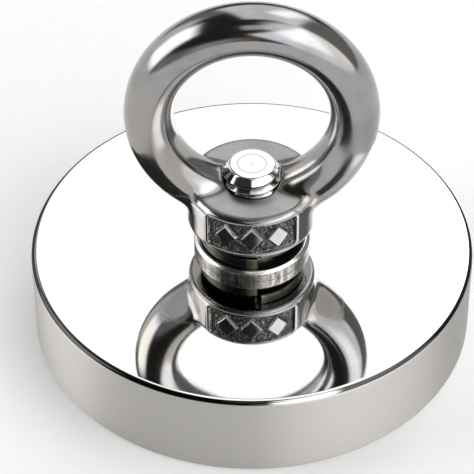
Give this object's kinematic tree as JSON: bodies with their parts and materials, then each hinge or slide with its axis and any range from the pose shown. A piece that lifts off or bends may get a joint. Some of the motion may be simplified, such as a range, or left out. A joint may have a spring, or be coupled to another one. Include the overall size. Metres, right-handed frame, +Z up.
{
  "type": "magnet fishing magnet",
  "caption": "Round single-sided pot magnet with a countersunk through bolt, washers and a screw-on eye nut for a retrieval rope.",
  "frame": {"origin": "centre of the pull face, in the plane of the pot's rim, which is the lowest surface", "axes": "+Z up along the bolt, from the pull face to the eye; the eye ring lies in the XZ plane; -Y is the side with the cast panel"},
  "size_m": [0.09, 0.09, 0.0786],
  "materials": {
    "pot_nickel": "nickel plate, mirror polished on top, fine turned satin on the side",
    "magnet_nickel": "bright nickel plate over sintered magnet",
    "resin": "cast potting resin, slightly sunk",
    "sleeve_brass": "turned brass",
    "bolt_steel": "bright polished steel",
    "washer_steel": "machined stainless",
    "spring_steel": "dark polished stainless",
    "eye_steel": "polished cast stainless with a rough cast panel"
  },
  "bodies": {
    "magnet": {"steel_pot": "pot_nickel", "ring_magnet": "magnet_nickel", "potting_resin": "resin", "centre_sleeve": "sleeve_brass", "countersunk_bolt": "bolt_steel", "flat_washer": "washer_steel"},
    "spring_washer": {"spring_washer": "spring_steel"},
    "eye_nut": {"eye_nut": "eye_steel"}
  },
  "joints": [
    {"name": "eye_turn", "type": "hinge", "parent": "magnet", "child": "spring_washer", "pos_m": [0, 0, 0.0215], "axis": [0, 0, 1], "range_deg": [0, 2430]},
    {"name": "eye_lift", "type": "slide", "parent": "spring_washer", "child": "eye_nut", "axis": [0, 0, 1], "range_m": [0, 0.0119]}
  ],
  "couplings": [
    {"joint": "eye_lift", "follows": "eye_turn", "m_per_rad": 0.00027852}
  ]
}
